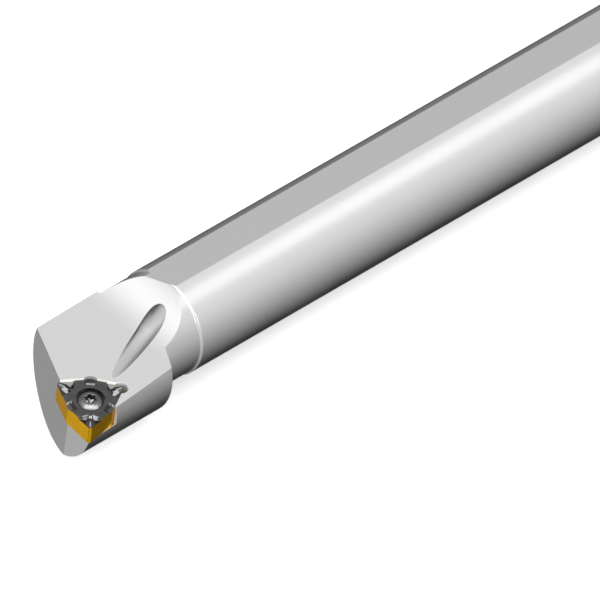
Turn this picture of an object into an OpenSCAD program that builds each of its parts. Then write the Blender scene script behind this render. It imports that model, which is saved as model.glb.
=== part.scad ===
// Internal turning bar with a screw-on insert.
// X runs along the bar towards the cutting end, Y towards the cutting corner, Z up.
// The origin is on the bar's axis at its rear face.

/* [Shank] */
// Length from the rear face to the cutting corner
bar_l = 180; // [120:5:250]
// Diameter of the round shank
shank_d = 16; // [15.8:0.1:17.5]
// Height over the two clamping flats
shank_h = 15; // [14.6:0.1:15.3]
// Chamfer round the rear end
rear_chamfer = 1; // [0.3:0.1:2]

/* [Neck] */
// Diameter of the relieved neck behind the head
neck_d = 15.5; // [15.2:0.1:15.7]
// Distance from the cutting corner back to the front end of the shank
neck_back = 24.5; // [23:0.5:35]
// Distance from the cutting corner back to the foot of the head's shoulder
shoulder_back = 18.15; // [16:0.5:21]
// Angle between the shoulder's cone and the bar's axis
shoulder_angle = 57; // [35:1:75]

/* [Head] */
// Diameter of the round head
head_d = 18.35; // [17.6:0.05:19]
// Shift of the head's centre line towards the cutting corner
head_shift = 1.35; // [0.8:0.05:1.8]
// Distance from the bar's axis to the cutting corner
cutting_offset = 11; // [10.6:0.1:11.6]
// Fall of the head's top face towards the side of the cutting corner
side_rake = 12.5; // [8:0.5:15]
// Fall of the head's top face towards the front
front_rake = 5.7; // [3:0.1:8]
// Distance behind the cutting corner at which the top face starts to rise
blend_back = 17; // [15:0.5:19]
// Radius of the hollow that leads from the top face up to the shank
blend_r = 12; // [8:0.5:20]
// Distance from the cutting corner back to the front face of the head
face_gap = 0.4; // [0.2:0.05:1]
// Relief angle of the front face beside the cutting corner
face_angle = 8; // [5:1:12]
// Lean of that face, its foot backwards
face_lean = 2; // [0:0.5:5]
// Relief angle of the front face on the far side
far_face_angle = 25; // [15:1:35]
// Lean of the far face, its foot forwards
far_face_lean = 1.7; // [0:0.1:3]
// Distance across the bar from the cutting corner to the change of angle
face_split = 5.2; // [4:0.1:8]

/* [Insert] */
// Diameter of the circle inscribed in the insert
insert_ic = 7; // [6.4:0.1:7.4]
// Height of the insert from its underside to its cutting corners
insert_t = 3.18; // [2.5:0.01:3.8]
// Radius of the insert's corners
nose_r = 0.4; // [0.2:0.1:0.8]
// Clearance angle between the cutting edge and the turned faces
lead_clearance = 5; // [3:1:7]
// Height of the insert's flat middle above its corners
plateau_rise = 0.12; // [0.05:0.01:0.25]
// Length of the chip groove from a corner along the cutting edge
groove_l = 2.3; // [1.5:0.1:2.6]
// Width of the chip groove across the cutting edge
groove_w = 1.05; // [0.6:0.05:1.2]
// Slope of the chip groove's floor away from the cutting edge
groove_slope = 14; // [6:1:20]
// Drop of the cutting edge over the length of the chip groove
edge_drop = 0.3; // [0.1:0.05:0.5]
// Width of the ridge between a corner's two chip grooves
ridge_w = 0.3; // [0.1:0.05:0.6]
// Distance from a corner over which its ridge comes down to the point
ridge_fall_l = 1.3; // [0.8:0.1:1.8]
// Length of the notch in the middle of each side
notch_l = 1.9; // [1:0.1:2.4]
// Depth of that notch from the edge inwards
notch_w = 0.6; // [0.3:0.05:0.8]
// Depth of that notch below the flat middle
notch_h = 0.35; // [0.1:0.05:0.6]

/* [Pocket] */
// Clearance between the insert's flanks and the pocket's walls
wall_gap = 0.02; // [0.01:0.01:0.1]
// Chamfer along the top of the pocket's two back walls
wall_chamfer = 0.42; // [0.1:0.02:0.6]
// Radius of the relief in the pocket's inner corner
corner_relief_r = 1; // [0.8:0.05:1.3]
// Distance of that relief's centre inwards from the insert's sharp corner
corner_relief_in = 0.6; // [0.3:0.05:0.8]
// Radius of the relief in the middle of the back wall
middle_relief_r = 1.05; // [0.6:0.05:1.4]
// Distance of that relief's centre inwards from the insert's sharp angle
middle_relief_in = 0.25; // [0:0.05:0.5]
// Distance from the cutting corner back to where the outer wall ends
outer_wall_back = 5.5; // [5.2:0.1:7]

/* [Screw] */
// Thread diameter of the insert screw
screw_d = 2.5; // [2:0.1:3]
// Diameter of the screw's head
screw_head_d = 3.7; // [3.3:0.1:3.9]
// Diameter of the countersink's mouth in the insert
countersink_d = 4.1; // [4:0.1:4.6]
// Depth of the straight mouth above the seat's cone
mouth_h = 0.35; // [0.2:0.05:0.6]
// Included angle of the screw's head
screw_head_angle = 60; // [50:5:90]
// Diameter of the hole through the insert
insert_hole_d = 2.8; // [2.6:0.05:3.1]
// Length of thread below the insert
thread_l = 3.5; // [2:0.5:4]
// Depth of the tapped hole below the pocket's floor
tapped_l = 4; // [3:0.5:4.5]
// Clearance round the thread, and between the head and its seat
screw_gap = 0.02; // [0.01:0.01:0.1]
// Diameter of the flat on top of the screw's head
head_flat_d = 2.2; // [1.8:0.1:2.8]
// Height of that flat above the head's rim
head_crown_h = 0.4; // [0.2:0.05:0.6]
// Diameter over the lobes of the six-lobe socket
socket_d = 1.7; // [1.3:0.05:2]
// Depth of the socket
socket_h = 0.9; // [0.6:0.1:1.3]

/* [Coolant] */
// Diameter of the coolant bore along the axis
coolant_d = 7; // [6.5:0.5:8]
// Distance from the cutting corner back to the end of that bore
coolant_back = 27; // [26:0.5:32]
// Diameter of the jet hole in the head's top face
jet_d = 2.9; // [2:0.1:3.5]
// Distance behind the cutting corner at which the jet's axis leaves the top face
jet_back = 22.1; // [21:0.1:23]
// Distance across the top face from the cutting corner to that place
jet_across = 8.7; // [8:0.1:9.5]
// Angle between the jet and the bar, across the top face
jet_turn = 17.3; // [14:0.1:20]
// Angle at which the jet rises out of the top face
jet_rise = 6.2; // [5:0.1:9]
// Length of the jet hole behind that place
jet_run = 9; // [8:0.5:11]

/* [Hidden] */
$fn = 96;
// Reach of a cut past the outside of the bar
past = 40;
// Length by which the neck runs on inside the head
neck_overlap = 4;
// Half of the cone angle at the end of a drilled bore
drill_half_angle = 59;
// Half of the angle at each of the insert's three cutting corners
half_corner = 40;
// Direction in the top face from the insert's centre to its cutting corner, from the bar's length
corner_turn = half_corner + lead_clearance;
// Distance from the insert's centre to the arc centre of a rounded corner
nose_reach = insert_ic / 2 / sin(half_corner) - nose_r / sin(half_corner);
// Centre of the insert in the top face, measured from the cutting corner
insert_mid = -[nose_r + nose_reach * cos(corner_turn), nose_r + nose_reach * sin(corner_turn)];
// Depth at which the taper of the screw's head ends in its thread
seat_h = mouth_h + (screw_head_d - screw_d) / 2 / tan(screw_head_angle / 2);
// Number of lobes of the socket, and the shares of its diameter taken by its core and by a lobe
socket_lobes = 6;
socket_core = 0.72;
lobe_share = 0.24;

// Sharp corner number i of the insert's outline for an inscribed circle ic
function sharp(i, ic) = insert_mid
    + ic / 2 / sin(half_corner) * [cos(corner_turn + 120 * i), sin(corner_turn + 120 * i)];

// Blunt angle in the middle of the side that follows corner i
function blunt(i, ic) = insert_mid
    + ic / 2 / cos(60 - (90 - half_corner)) * [cos(corner_turn + 60 + 120 * i), sin(corner_turn + 60 + 120 * i)];

// Unit vector from p to q
function towards(p, q) = (q - p) / norm(q - p);

// Places its children in the frame of the head's top face, with the cutting corner at the origin
module on_top_face() {
    translate([bar_l, cutting_offset, 0])
        rotate([-side_rake, front_rake, 0])
            children();
}

// Turned solid about the bar's axis, from points of [distance along the bar, radius]
module turned(points) {
    rotate([0, 90, 0])
        rotate_extrude()
            polygon([for (p = points) [p[1], p[0]]]);
}

module shank_and_neck() {
    step = (shank_d - neck_d) / 2;
    turned([
        [0, 0],
        [0, shank_d / 2 - rear_chamfer],
        [rear_chamfer, shank_d / 2],
        [bar_l - neck_back - step, shank_d / 2],
        [bar_l - neck_back, neck_d / 2],
        [bar_l - shoulder_back + neck_overlap, neck_d / 2],
        [bar_l - shoulder_back + neck_overlap, 0],
    ]);
}

module head_round() {
    rise = head_d;
    intersection() {
        translate([bar_l - neck_back, head_shift, 0])
            rotate([0, 90, 0])
                cylinder(d = head_d, h = neck_back);
        turned([
            [bar_l - shoulder_back - neck_d / 2 / tan(shoulder_angle), 0],
            [bar_l - shoulder_back + (rise - neck_d / 2) / tan(shoulder_angle), rise],
            [bar_l + shank_d, rise],
            [bar_l + shank_d, 0],
        ]);
    }
}

module flats_cut() {
    for (side = [0, 180])
        rotate([side, 0, 0])
            translate([-past, -past, shank_h / 2])
                cube([past + bar_l - shoulder_back, 2 * past, past]);
}

module top_face_cut() {
    on_top_face() {
        translate([-blend_back, -past, 0])
            cube([2 * past, 2 * past, past]);
        translate([-blend_back, past, blend_r])
            rotate([90, 0, 0])
                cylinder(r = blend_r, h = 2 * past);
    }
}

module front_faces_cut() {
    split_x = bar_l - face_gap - face_split * tan(face_angle);
    translate([bar_l - face_gap, cutting_offset, 0])
        rotate([0, face_lean, -face_angle])
            translate([0, -past, -past])
                cube([past, 2 * past, 2 * past]);
    translate([split_x, cutting_offset - face_split, 0])
        rotate([0, -far_face_lean, -far_face_angle])
            translate([0, -past, -past])
                cube([past, 2 * past, 2 * past]);
}

// Outline of the insert's pocket in the top face, open to the front and to the side
module pocket_outline() {
    ic = insert_ic + 2 * wall_gap;
    inner = sharp(1, ic);
    middle = blunt(1, ic);
    front = sharp(2, ic);
    outer = blunt(0, ic);
    open_at = inner + (outer - inner) * (-outer_wall_back - inner[0]) / (outer[0] - inner[0]);
    polygon([
        inner,
        middle,
        middle + towards(middle, front) * past,
        [past, front[1] - past],
        [past, past],
        [-outer_wall_back, past],
        open_at,
    ]);
}

// Chamfer along the top of the pocket's wall, from a length before p up to q
module wall_top_chamfer(p, q, before) {
    d = towards(p, q);
    translate([p[0], p[1], -wall_chamfer])
        rotate([0, 0, atan2(d[1], d[0])])
            rotate([45, 0, 0])
                translate([-before, 0, 0])
                    cube([norm(q - p) + before, insert_ic, insert_ic]);
}

module pocket_cut() {
    ic = insert_ic + 2 * wall_gap;
    to_mid = [for (p = [sharp(1, ic), blunt(1, ic)]) towards(p, insert_mid)];
    corner_relief = sharp(1, ic) + to_mid[0] * corner_relief_in;
    middle_relief = blunt(1, ic) + to_mid[1] * middle_relief_in;
    on_top_face() {
        translate([0, 0, -insert_t])
            linear_extrude(past)
                pocket_outline();
        translate([corner_relief[0], corner_relief[1], -insert_t])
            cylinder(r = corner_relief_r, h = past);
        translate([middle_relief[0], middle_relief[1], -insert_t])
            cylinder(r = middle_relief_r, h = past);
        translate([insert_mid[0], insert_mid[1], -insert_t - tapped_l])
            cylinder(d = screw_d + 2 * screw_gap, h = tapped_l + past);
    }
}

module pocket_chamfers() {
    ic = insert_ic + 2 * wall_gap;
    on_top_face() {
        wall_top_chamfer(sharp(1, ic), blunt(1, ic), 0);
        wall_top_chamfer(sharp(2, ic), blunt(1, ic), insert_ic);
    }
}

module coolant_cut() {
    turned([
        [-past, 0],
        [-past, coolant_d / 2],
        [bar_l - coolant_back, coolant_d / 2],
        [bar_l - coolant_back + coolant_d / 2 / tan(drill_half_angle), 0],
    ]);
    on_top_face()
        translate([-jet_back, -jet_across, 0])
            rotate([0, 0, jet_turn])
                rotate([0, 90 - jet_rise, 0])
                    translate([0, 0, -jet_run])
                        cylinder(d = jet_d, h = jet_run + past);
}

module bar_body() {
    color("gainsboro")
        difference() {
            union() {
                shank_and_neck();
                head_round();
            }
            flats_cut();
            top_face_cut();
            front_faces_cut();
            pocket_cut();
            pocket_chamfers();
            coolant_cut();
        }
}

// Outline of the insert with its rounded corners
module insert_outline() {
    reach = nose_r / tan(half_corner);
    union() {
        polygon([
            for (i = [0:2], s = [-1, 0, 1])
                let (c = sharp(i, insert_ic), before = blunt(i + 2, insert_ic), after = blunt(i, insert_ic))
                    s == -1 ? c + towards(c, before) * reach
                        : s == 0 ? c + towards(c, after) * reach
                        : after
        ]);
        for (i = [0:2])
            translate(insert_mid + nose_reach * [cos(corner_turn + 120 * i), sin(corner_turn + 120 * i)])
                circle(r = nose_r);
    }
}

// One chip groove, with the corner at the origin, the cutting edge along X and the insert on the Y side
module groove_cut() {
    rotate([-groove_slope, asin(edge_drop / groove_l), 0])
        linear_extrude(insert_t)
            polygon([
                [-insert_t, -insert_t],
                [groove_l, -insert_t],
                [groove_l, groove_w],
                [(groove_w + ridge_w / 2) / tan(half_corner), groove_w],
                [ridge_w / 2 / tan(half_corner), 0],
                [-insert_t, 0],
            ]);
}

// The shaped upper side of the insert, cut from its blank, around corner i
module corner_cuts(i) {
    tip = sharp(i, insert_ic);
    translate([tip[0], tip[1], 0])
        rotate([0, 0, corner_turn + 120 * i + 180]) {
            rotate([0, 0, -half_corner])
                groove_cut();
            mirror([0, 1, 0])
                rotate([0, 0, -half_corner])
                    groove_cut();
            rotate([0, -atan(plateau_rise / ridge_fall_l), 0])
                translate([-insert_t, -insert_t / 2, 0])
                    cube([insert_t + ridge_fall_l, insert_t, insert_t]);
        }
}

module notch_cut(i) {
    at = blunt(i, insert_ic);
    translate([at[0], at[1], plateau_rise - notch_h])
        rotate([0, 0, corner_turn + 60 + 120 * i])
            translate([-notch_w, -notch_l / 2, 0])
                cube([insert_ic, notch_l, insert_t]);
}

module upper_side_cuts() {
    for (i = [0:2]) {
        corner_cuts(i);
        notch_cut(i);
    }
    translate([insert_mid[0], insert_mid[1], plateau_rise])
        rotate_extrude()
            polygon([
                [0, insert_t],
                [countersink_d / 2, insert_t],
                [countersink_d / 2, -mouth_h],
                [screw_head_d / 2, -mouth_h],
                [insert_hole_d / 2, -mouth_h - (screw_head_d - insert_hole_d) / 2 / tan(screw_head_angle / 2)],
                [0, -mouth_h - (screw_head_d - insert_hole_d) / 2 / tan(screw_head_angle / 2)],
            ]);
}

module insert() {
    color("darkgoldenrod")
        on_top_face()
            difference() {
                translate([0, 0, -insert_t])
                    linear_extrude(insert_t + plateau_rise)
                        insert_outline();
                upper_side_cuts();
                translate([insert_mid[0], insert_mid[1], -past])
                    cylinder(d = insert_hole_d, h = 2 * past);
            }
}

module insert_screw() {
    rim = screw_head_d / 2 - screw_gap;
    color("dimgray")
        on_top_face()
            translate([insert_mid[0], insert_mid[1], plateau_rise])
                difference() {
                    rotate_extrude()
                        polygon([
                            [0, -insert_t - plateau_rise - thread_l],
                            [screw_d / 2, -insert_t - plateau_rise - thread_l],
                            [screw_d / 2, -seat_h],
                            [rim, -mouth_h],
                            [head_flat_d / 2, -mouth_h + head_crown_h],
                            [0, -mouth_h + head_crown_h],
                        ]);
                    socket_cut();
                }
}

module socket_cut() {
    translate([0, 0, -mouth_h + head_crown_h - socket_h]) {
        cylinder(d = socket_d * socket_core, h = insert_t);
        for (i = [0:socket_lobes - 1])
            rotate([0, 0, 360 / socket_lobes * i])
                translate([socket_d / 2 * (1 - lobe_share), 0, 0])
                    cylinder(d = socket_d * lobe_share, h = insert_t);
    }
}

bar_body();
insert();
insert_screw();
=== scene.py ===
# %% [markdown]
# # A boring bar in a photo studio
# A boring bar turns the inside of a hole on a lathe. It is a slim bar of ground steel, and a small
# cutting insert is screwed into a pocket at its end. The exact shape of the bar comes from the packed
# CAD model, which is loaded first and never changed. This lesson dresses it: a camera at the
# photograph's angle, soft lamps, steel that shows how it was machined, and a finer insert and screw.

import math

import bpy
import numpy as np
from mathutils import Matrix, Vector


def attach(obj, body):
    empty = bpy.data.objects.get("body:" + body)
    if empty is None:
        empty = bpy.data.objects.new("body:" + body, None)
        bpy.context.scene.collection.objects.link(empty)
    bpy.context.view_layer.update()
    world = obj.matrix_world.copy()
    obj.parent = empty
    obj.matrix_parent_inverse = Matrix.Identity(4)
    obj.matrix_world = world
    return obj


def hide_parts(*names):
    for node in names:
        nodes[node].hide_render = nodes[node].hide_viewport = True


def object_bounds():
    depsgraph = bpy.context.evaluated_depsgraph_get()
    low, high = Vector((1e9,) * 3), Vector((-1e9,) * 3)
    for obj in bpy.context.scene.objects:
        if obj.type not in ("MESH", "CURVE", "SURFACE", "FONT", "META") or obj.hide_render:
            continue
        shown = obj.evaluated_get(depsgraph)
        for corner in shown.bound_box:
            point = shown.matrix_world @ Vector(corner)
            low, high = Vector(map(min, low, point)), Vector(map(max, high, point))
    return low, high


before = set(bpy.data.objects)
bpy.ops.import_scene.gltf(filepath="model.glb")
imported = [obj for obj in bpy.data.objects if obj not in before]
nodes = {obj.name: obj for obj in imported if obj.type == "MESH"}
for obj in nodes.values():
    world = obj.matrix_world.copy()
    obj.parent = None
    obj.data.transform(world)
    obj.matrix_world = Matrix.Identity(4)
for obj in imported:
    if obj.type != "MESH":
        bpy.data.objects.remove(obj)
cad_low, cad_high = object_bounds()
MM = 0.001
print("CAD box in mm:", [round(v / MM, 2) for v in (*cad_low, *cad_high)])

# %% [markdown]
# ## The camera
# In the photograph, edges that run away from us don't get closer together, and the three axes of
# the bar are foreshortened alike. That is an isometric view. An orthographic camera gives exactly
# that, but a very long lens from far away looks the same here, and still works when the view is
# turned to other angles, so a long lens was chosen. The picture's scale holds 10 mm nearer than the
# point looked at, on the side of the bar that we see.

# %% Place the camera
PICTURE_PIXELS, PIXELS_PER_MM = 600, 7.266
LENS, SENSOR = 1500.0, 36.0
LOOKS_AT, NEARER = (138.07, 9.70, 0.0), 10

looks_from = Vector((1, 1, 1)).normalized()
far_away = PICTURE_PIXELS / PIXELS_PER_MM * MM * LENS / SENSOR

camera_data = bpy.data.cameras.new("camera")
camera_data.lens, camera_data.sensor_width = LENS, SENSOR
camera_data.clip_start, camera_data.clip_end = 0.1, 20
camera = bpy.data.objects.new("camera", camera_data)
camera.location = Vector(LOOKS_AT) * MM + looks_from * (far_away + NEARER * MM)
camera.rotation_mode = "QUATERNION"
camera.rotation_quaternion = (-looks_from).to_track_quat("-Z", "Y")
bpy.context.scene.collection.objects.link(camera)
bpy.context.scene.camera = camera
bpy.context.scene.view_settings.view_transform = "Standard"
print("camera stands", round(far_away, 2), "m away")

# %% [markdown]
# ## Small tools for node trees
# Materials and the sky are trees of nodes. Adding a node takes the same three steps each time:
# make it, set its own properties, then give each input a number or a link. One short helper does
# that. The others are the sums that come up again and again, so that the recipes below read as
# recipes.


# %% Node helpers
def add(tree, kind, inputs=None, **settings):
    """Adds one node. Settings are its own properties; inputs are numbers, colours or links."""
    node = tree.nodes.new("ShaderNode" + kind)
    for key, value in settings.items():
        setattr(node, key, value)
    for key, value in (inputs or {}).items():
        if isinstance(value, bpy.types.NodeSocket):
            tree.links.new(value, node.inputs[key])
        else:
            node.inputs[key].default_value = value
    return node


def sum_up(tree, operation, a, b=0.0, c=None, clamp=False):
    """One Math node: an operation on two or three numbers or links. Gives its output."""
    inputs = {0: a, 1: b} if c is None else {0: a, 1: b, 2: c}
    return add(tree, "Math", inputs, operation=operation, use_clamp=clamp).outputs[0]


def product(tree, first, *others):
    """Numbers or links multiplied together, one Math node after another."""
    for other in others:
        first = sum_up(tree, "MULTIPLY", first, other)
    return first


def vector_sum(tree, operation, a, b=(0, 0, 0), out="Vector"):
    """One Vector Math node on two vectors. Gives the named output."""
    return add(tree, "VectorMath", {0: a, 1: b}, operation=operation).outputs[out]


def dot(tree, a, b):
    """The sum of the products of two vectors' parts: how far one reaches along the other."""
    return vector_sum(tree, "DOT_PRODUCT", a, b, "Value")


def length(tree, vector):
    """The root of the sum of a vector's squared parts."""
    return vector_sum(tree, "LENGTH", vector, out="Value")


def ramp(tree, value, low, high, to_low=0.0, to_high=1.0):
    """A soft step: to_low below low, to_high above high, and a smooth change between."""
    inputs = {"Value": value, "From Min": low, "From Max": high, "To Min": to_low, "To Max": to_high}
    return add(tree, "MapRange", inputs, interpolation_type="SMOOTHSTEP").outputs[0]


print("node helpers:", [f.__name__ for f in (add, sum_up, product, vector_sum, dot, length, ramp)])

# %% [markdown]
# ## The studio
# Ground steel is a blurred mirror, so its look is decided by what surrounds it. The greys round the
# photographed shank change evenly from light above to dark below. A sky whose brightness is a plain
# slope gives just that, better than many small lamps would. It rises upwards and towards +Y and
# falls towards -X. Towards +X, where the front of the head looks, it stays level.

# %% Slope of the sky
SKY_SLOPE = (0.74, 0.58, 0.62)
SKY_LEVEL = 1.00

world = bpy.data.worlds.new("studio")
bpy.context.scene.world = world
world.use_nodes = True
sky = world.node_tree
sky.nodes.clear()
direction = add(sky, "TexCoord").outputs["Generated"]
behind_only = vector_sum(sky, "MINIMUM", direction, (0, 1, 1))
slope = sum_up(sky, "ADD", dot(sky, behind_only, SKY_SLOPE), SKY_LEVEL)
light = sum_up(sky, "MAXIMUM", slope, 0.0)
levels = (SKY_LEVEL - SKY_SLOPE[0], SKY_LEVEL, SKY_LEVEL + SKY_SLOPE[1], SKY_LEVEL + SKY_SLOPE[2])
print("sky level towards -X, +X, +Y, +Z:", [round(level, 2) for level in levels])

# %% [markdown]
# Five weak glows are added to the slope, each in the direction that one part of the bar mirrors to
# the camera. The first stands for the light that a white table sends up to the front of the head.
# The others brighten the faces on top, each as much as the photograph asks for. Rays that go
# straight to the camera see a pale backdrop instead of this sky.

# %% Glows and backdrop
GLOWS = (
    ((0.34, -0.74, -0.58), 7.0, 0.62),  # off the table, on the front facets
    ((-0.60, -0.78, 0.00), 6.0, 0.10),  # on the round behind the flat
    ((-0.62, -0.62, 0.48), 6.0, 0.31),  # on the flat along the shank
    ((-0.45, 0.30, 0.84), 4.0, 0.30),  # on the top of the round and of the head
    ((0.40, -0.30, 0.87), 12.0, 0.78),  # on the shoulder
)


def glow(towards, sharpness, brightness):
    """Brightness times the cosine of the angle to a direction, raised to the sharpness."""
    cosine = sum_up(sky, "MAXIMUM", dot(sky, direction, Vector(towards).normalized()), 0.0)
    return product(sky, sum_up(sky, "POWER", cosine, sharpness), brightness)


for glow_values in GLOWS:
    light = sum_up(sky, "ADD", light, glow(*glow_values))
dome = add(sky, "Background", {"Strength": light})
backdrop = add(sky, "Background", {"Color": (1, 1, 1, 1), "Strength": 1.0})
seen = add(sky, "LightPath").outputs["Is Camera Ray"]
either = add(sky, "MixShader", {0: seen, 1: dome.outputs[0], 2: backdrop.outputs[0]})
add(sky, "OutputWorld", {"Surface": either.outputs[0]})
print("glows:", len(GLOWS), "of brightness", [brightness for *_, brightness in GLOWS])

# %% [markdown]
# Softboxes add what the sky can't. A long bright strip above the camera and a box to each side make
# the facets of the insert and the head of its screw sparkle. The side boxes whiten the steel's
# chamfers too. The strip lights only the insert and the screw, by Blender's light linking, because
# seen from above it would whiten the whole head. A dim round one behind the bar draws the bright
# line along the shank. Each is an area lamp that faces the head of the bar from 3 metres, so far
# off that it lights the whole bar alike. Its size is two angles.

# %% Softboxes
LAMP_DISTANCE = 3.0
LIT_PLACE = Vector((0.14, 0, 0))
TO_CAMERAS_RIGHT = Vector((-1, 1, 0))


def softbox(name, towards, degrees, brightness, shape):
    """An area lamp: its sides are twice the distance times the tangent of half its angle, and its
    power is brightness times pi times its area. Its second side runs from the camera's left to its
    right."""
    data = bpy.data.lights.new(name, "AREA")
    data.shape = shape
    data.size, data.size_y = (2 * LAMP_DISTANCE * math.tan(math.radians(a / 2)) for a in degrees)
    fill = math.pi / 4 if shape == "ELLIPSE" else 1.0
    data.energy = brightness * math.pi * fill * data.size * data.size_y
    lamp = bpy.data.objects.new(name, data)
    back = Vector(towards).normalized()
    sideways = (TO_CAMERAS_RIGHT - back * TO_CAMERAS_RIGHT.dot(back)).normalized()
    lamp.matrix_world = Matrix((sideways.cross(back), sideways, back)).transposed().to_4x4()
    lamp.location = LIT_PLACE + back * LAMP_DISTANCE
    bpy.context.scene.collection.objects.link(lamp)
    return lamp


strip = softbox("strip_above_camera", (0.18, 0.43, 0.88), (23, 68), 7.0, shape="RECTANGLE")
strip_lights = bpy.data.collections.new("lit_by_the_strip")
strip.light_linking.receiver_collection = strip_lights
softbox("box_to_the_left", (0.91, 0.16, 0.38), (20, 20), 8.0, shape="RECTANGLE")
softbox("box_to_the_right", (0.00, 0.95, 0.30), (18, 18), 8.0, shape="RECTANGLE")
softbox("round_behind", (-0.58, 0.40, 0.71), (24, 24), 0.60, shape="ELLIPSE")

# %% [markdown]
# The bar lies on a pale sheet, which gives off a little light so that it is white to the camera. The
# sheet is kept out of reflections, because the photographed bar is dark underneath, where a white
# table would have lit it up.

# %% Floor
SHEET_SIZE, SHEET_GREY, SHEET_ROUGHNESS, SHEET_LIGHT = 6, 0.95, 0.9, 0.3

bpy.ops.mesh.primitive_plane_add(size=SHEET_SIZE, location=(0, 0, cad_low.z))
floor = bpy.context.object
floor.name = "pale_sheet"
sheet = bpy.data.materials.new("pale_sheet")
sheet.use_nodes = True
sheet_shader = sheet.node_tree.nodes["Principled BSDF"]
sheet_shader.inputs["Base Color"].default_value = (SHEET_GREY, SHEET_GREY, SHEET_GREY, 1)
sheet_shader.inputs["Emission Color"].default_value = (1, 1, 1, 1)
sheet_shader.inputs["Emission Strength"].default_value = SHEET_LIGHT
sheet_shader.inputs["Roughness"].default_value = SHEET_ROUGHNESS
floor.data.materials.append(sheet)
floor.visible_glossy = False
floor.visible_diffuse = False
print("floor at z =", round(floor.location.z / MM, 2), "mm")

# %% [markdown]
# ## Finishes that several materials share
# A node group is built once and placed in each material with its own numbers. Every group here is
# made of noise, and noise seldom comes near 0 or 1, so its middle part is stretched to fill the
# whole range.

# %% Start a group
GRAIN_SPAN, PATCH_SPAN, LINE_SPAN, BREAK_SPAN = (0.3, 0.7), (0.35, 0.65), (0.15, 0.85), (0.3, 0.6)


def new_group(name, inputs, outputs):
    """An empty node group with float or vector inputs and float outputs, by name."""
    group = bpy.data.node_groups.new(name, "ShaderNodeTree")
    for socket, kind in inputs.items():
        group.interface.new_socket(socket, in_out="INPUT", socket_type="NodeSocket" + kind)
    for socket in outputs:
        group.interface.new_socket(socket, in_out="OUTPUT", socket_type="NodeSocketFloat")
    entry = group.nodes.new("NodeGroupInput")
    leave = group.nodes.new("NodeGroupOutput")
    return group, entry.outputs, leave.inputs


print("parts of the noise that are stretched:", GRAIN_SPAN, PATCH_SPAN, LINE_SPAN, BREAK_SPAN)

# %% [markdown]
# Fine grain is the unevenness that keeps a ground or coated surface from looking like plastic: one
# noise at the size of the grain and a slower one that makes some places a little duller than others.

# %% Group: fine grain
grain_group, given, result = new_group(
    "fine grain", {"Position": "Vector", "Grain": "Float", "Patches": "Float"}, ["Grain", "Patches"]
)
small_noise = {"Vector": given["Position"], "Scale": given["Grain"], "Detail": 3.0}
slow_noise = {"Vector": given["Position"], "Scale": given["Patches"], "Detail": 2.0}
small = add(grain_group, "TexNoise", small_noise).outputs[0]
slow = add(grain_group, "TexNoise", slow_noise).outputs[0]
grain_group.links.new(ramp(grain_group, small, *GRAIN_SPAN), result["Grain"])
grain_group.links.new(ramp(grain_group, slow, *PATCH_SPAN), result["Patches"])
print("group:", grain_group.name)

# %% [markdown]
# A turned or ground round shows fine lines that run round its axis, and a turned end face shows
# rings. One rule gives both: noise that depends only on the distance along the axis and on the
# distance from it. The position comes in already measured from the axis, in metres.

# %% Group: turned lines
turned_group, given, result = new_group(
    "turned lines", {"From axis": "Vector", "Lines per metre": "Float"}, ["Lines"]
)
axes = add(turned_group, "SeparateXYZ", {0: given["From axis"]}).outputs
flat_part = add(turned_group, "CombineXYZ", {"Y": axes["Y"], "Z": axes["Z"]}).outputs[0]
radius = length(turned_group, flat_part)
two = add(turned_group, "CombineXYZ", {"X": axes["X"], "Y": radius}).outputs[0]
line_noise = {"Vector": two, "Scale": given["Lines per metre"], "Detail": 1.0}
lines = add(turned_group, "TexNoise", line_noise).outputs[0]
turned_group.links.new(ramp(turned_group, lines, *LINE_SPAN), result["Lines"])
print("group:", turned_group.name)

# %% [markdown]
# A face cutter leaves arcs on a milled flat, all struck from the path of the cutter's centre. Noise
# that depends only on the distance from one far point draws such arcs.

# %% Group: milled arcs
milled_group, given, result = new_group(
    "milled arcs", {"Position": "Vector", "Centre": "Vector", "Lines per metre": "Float"}, ["Arcs"]
)
away = vector_sum(milled_group, "SUBTRACT", given["Position"], given["Centre"])
level_away = vector_sum(milled_group, "MULTIPLY", away, (1, 1, 0))
one = add(milled_group, "CombineXYZ", {"X": length(milled_group, level_away)}).outputs[0]
arc_noise = {"Vector": one, "Scale": given["Lines per metre"], "Detail": 1.0}
arcs = add(milled_group, "TexNoise", arc_noise).outputs[0]
milled_group.links.new(ramp(milled_group, arcs, *LINE_SPAN), result["Arcs"])
print("group:", milled_group.name)

# %% [markdown]
# Edges are handled most, so they are rubbed brighter and smoother, but not evenly. This group takes
# a mask that is 1 on an edge and lets noise break it up, down to about a third.

# %% Group: rubbed edge
LEAST_RUBBED = 0.35

rubbed_group, given, result = new_group(
    "rubbed edge", {"Position": "Vector", "Edge": "Float", "Break up": "Float"}, ["Rubbed"]
)
break_noise = {"Vector": given["Position"], "Scale": given["Break up"], "Detail": 3.0}
broken = add(rubbed_group, "TexNoise", break_noise).outputs[0]
share = ramp(rubbed_group, broken, *BREAK_SPAN, LEAST_RUBBED, 1.0)
rubbed_edge = sum_up(rubbed_group, "MULTIPLY", given["Edge"], share, clamp=True)
rubbed_group.links.new(rubbed_edge, result["Rubbed"])
print("group:", rubbed_group.name)

# %% [markdown]
# Each finish below starts as a Principled shader in a material of its own. Masks, which are 0 or 1
# or between, then mix its colours and make it duller or smoother. Three helpers place a group, mix
# two colours, and start a finish.


# %% Material helpers
def place(tree, group, inputs):
    """Places a node group in a material and gives its outputs."""
    return add(tree, "Group", inputs, node_tree=group).outputs


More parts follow.
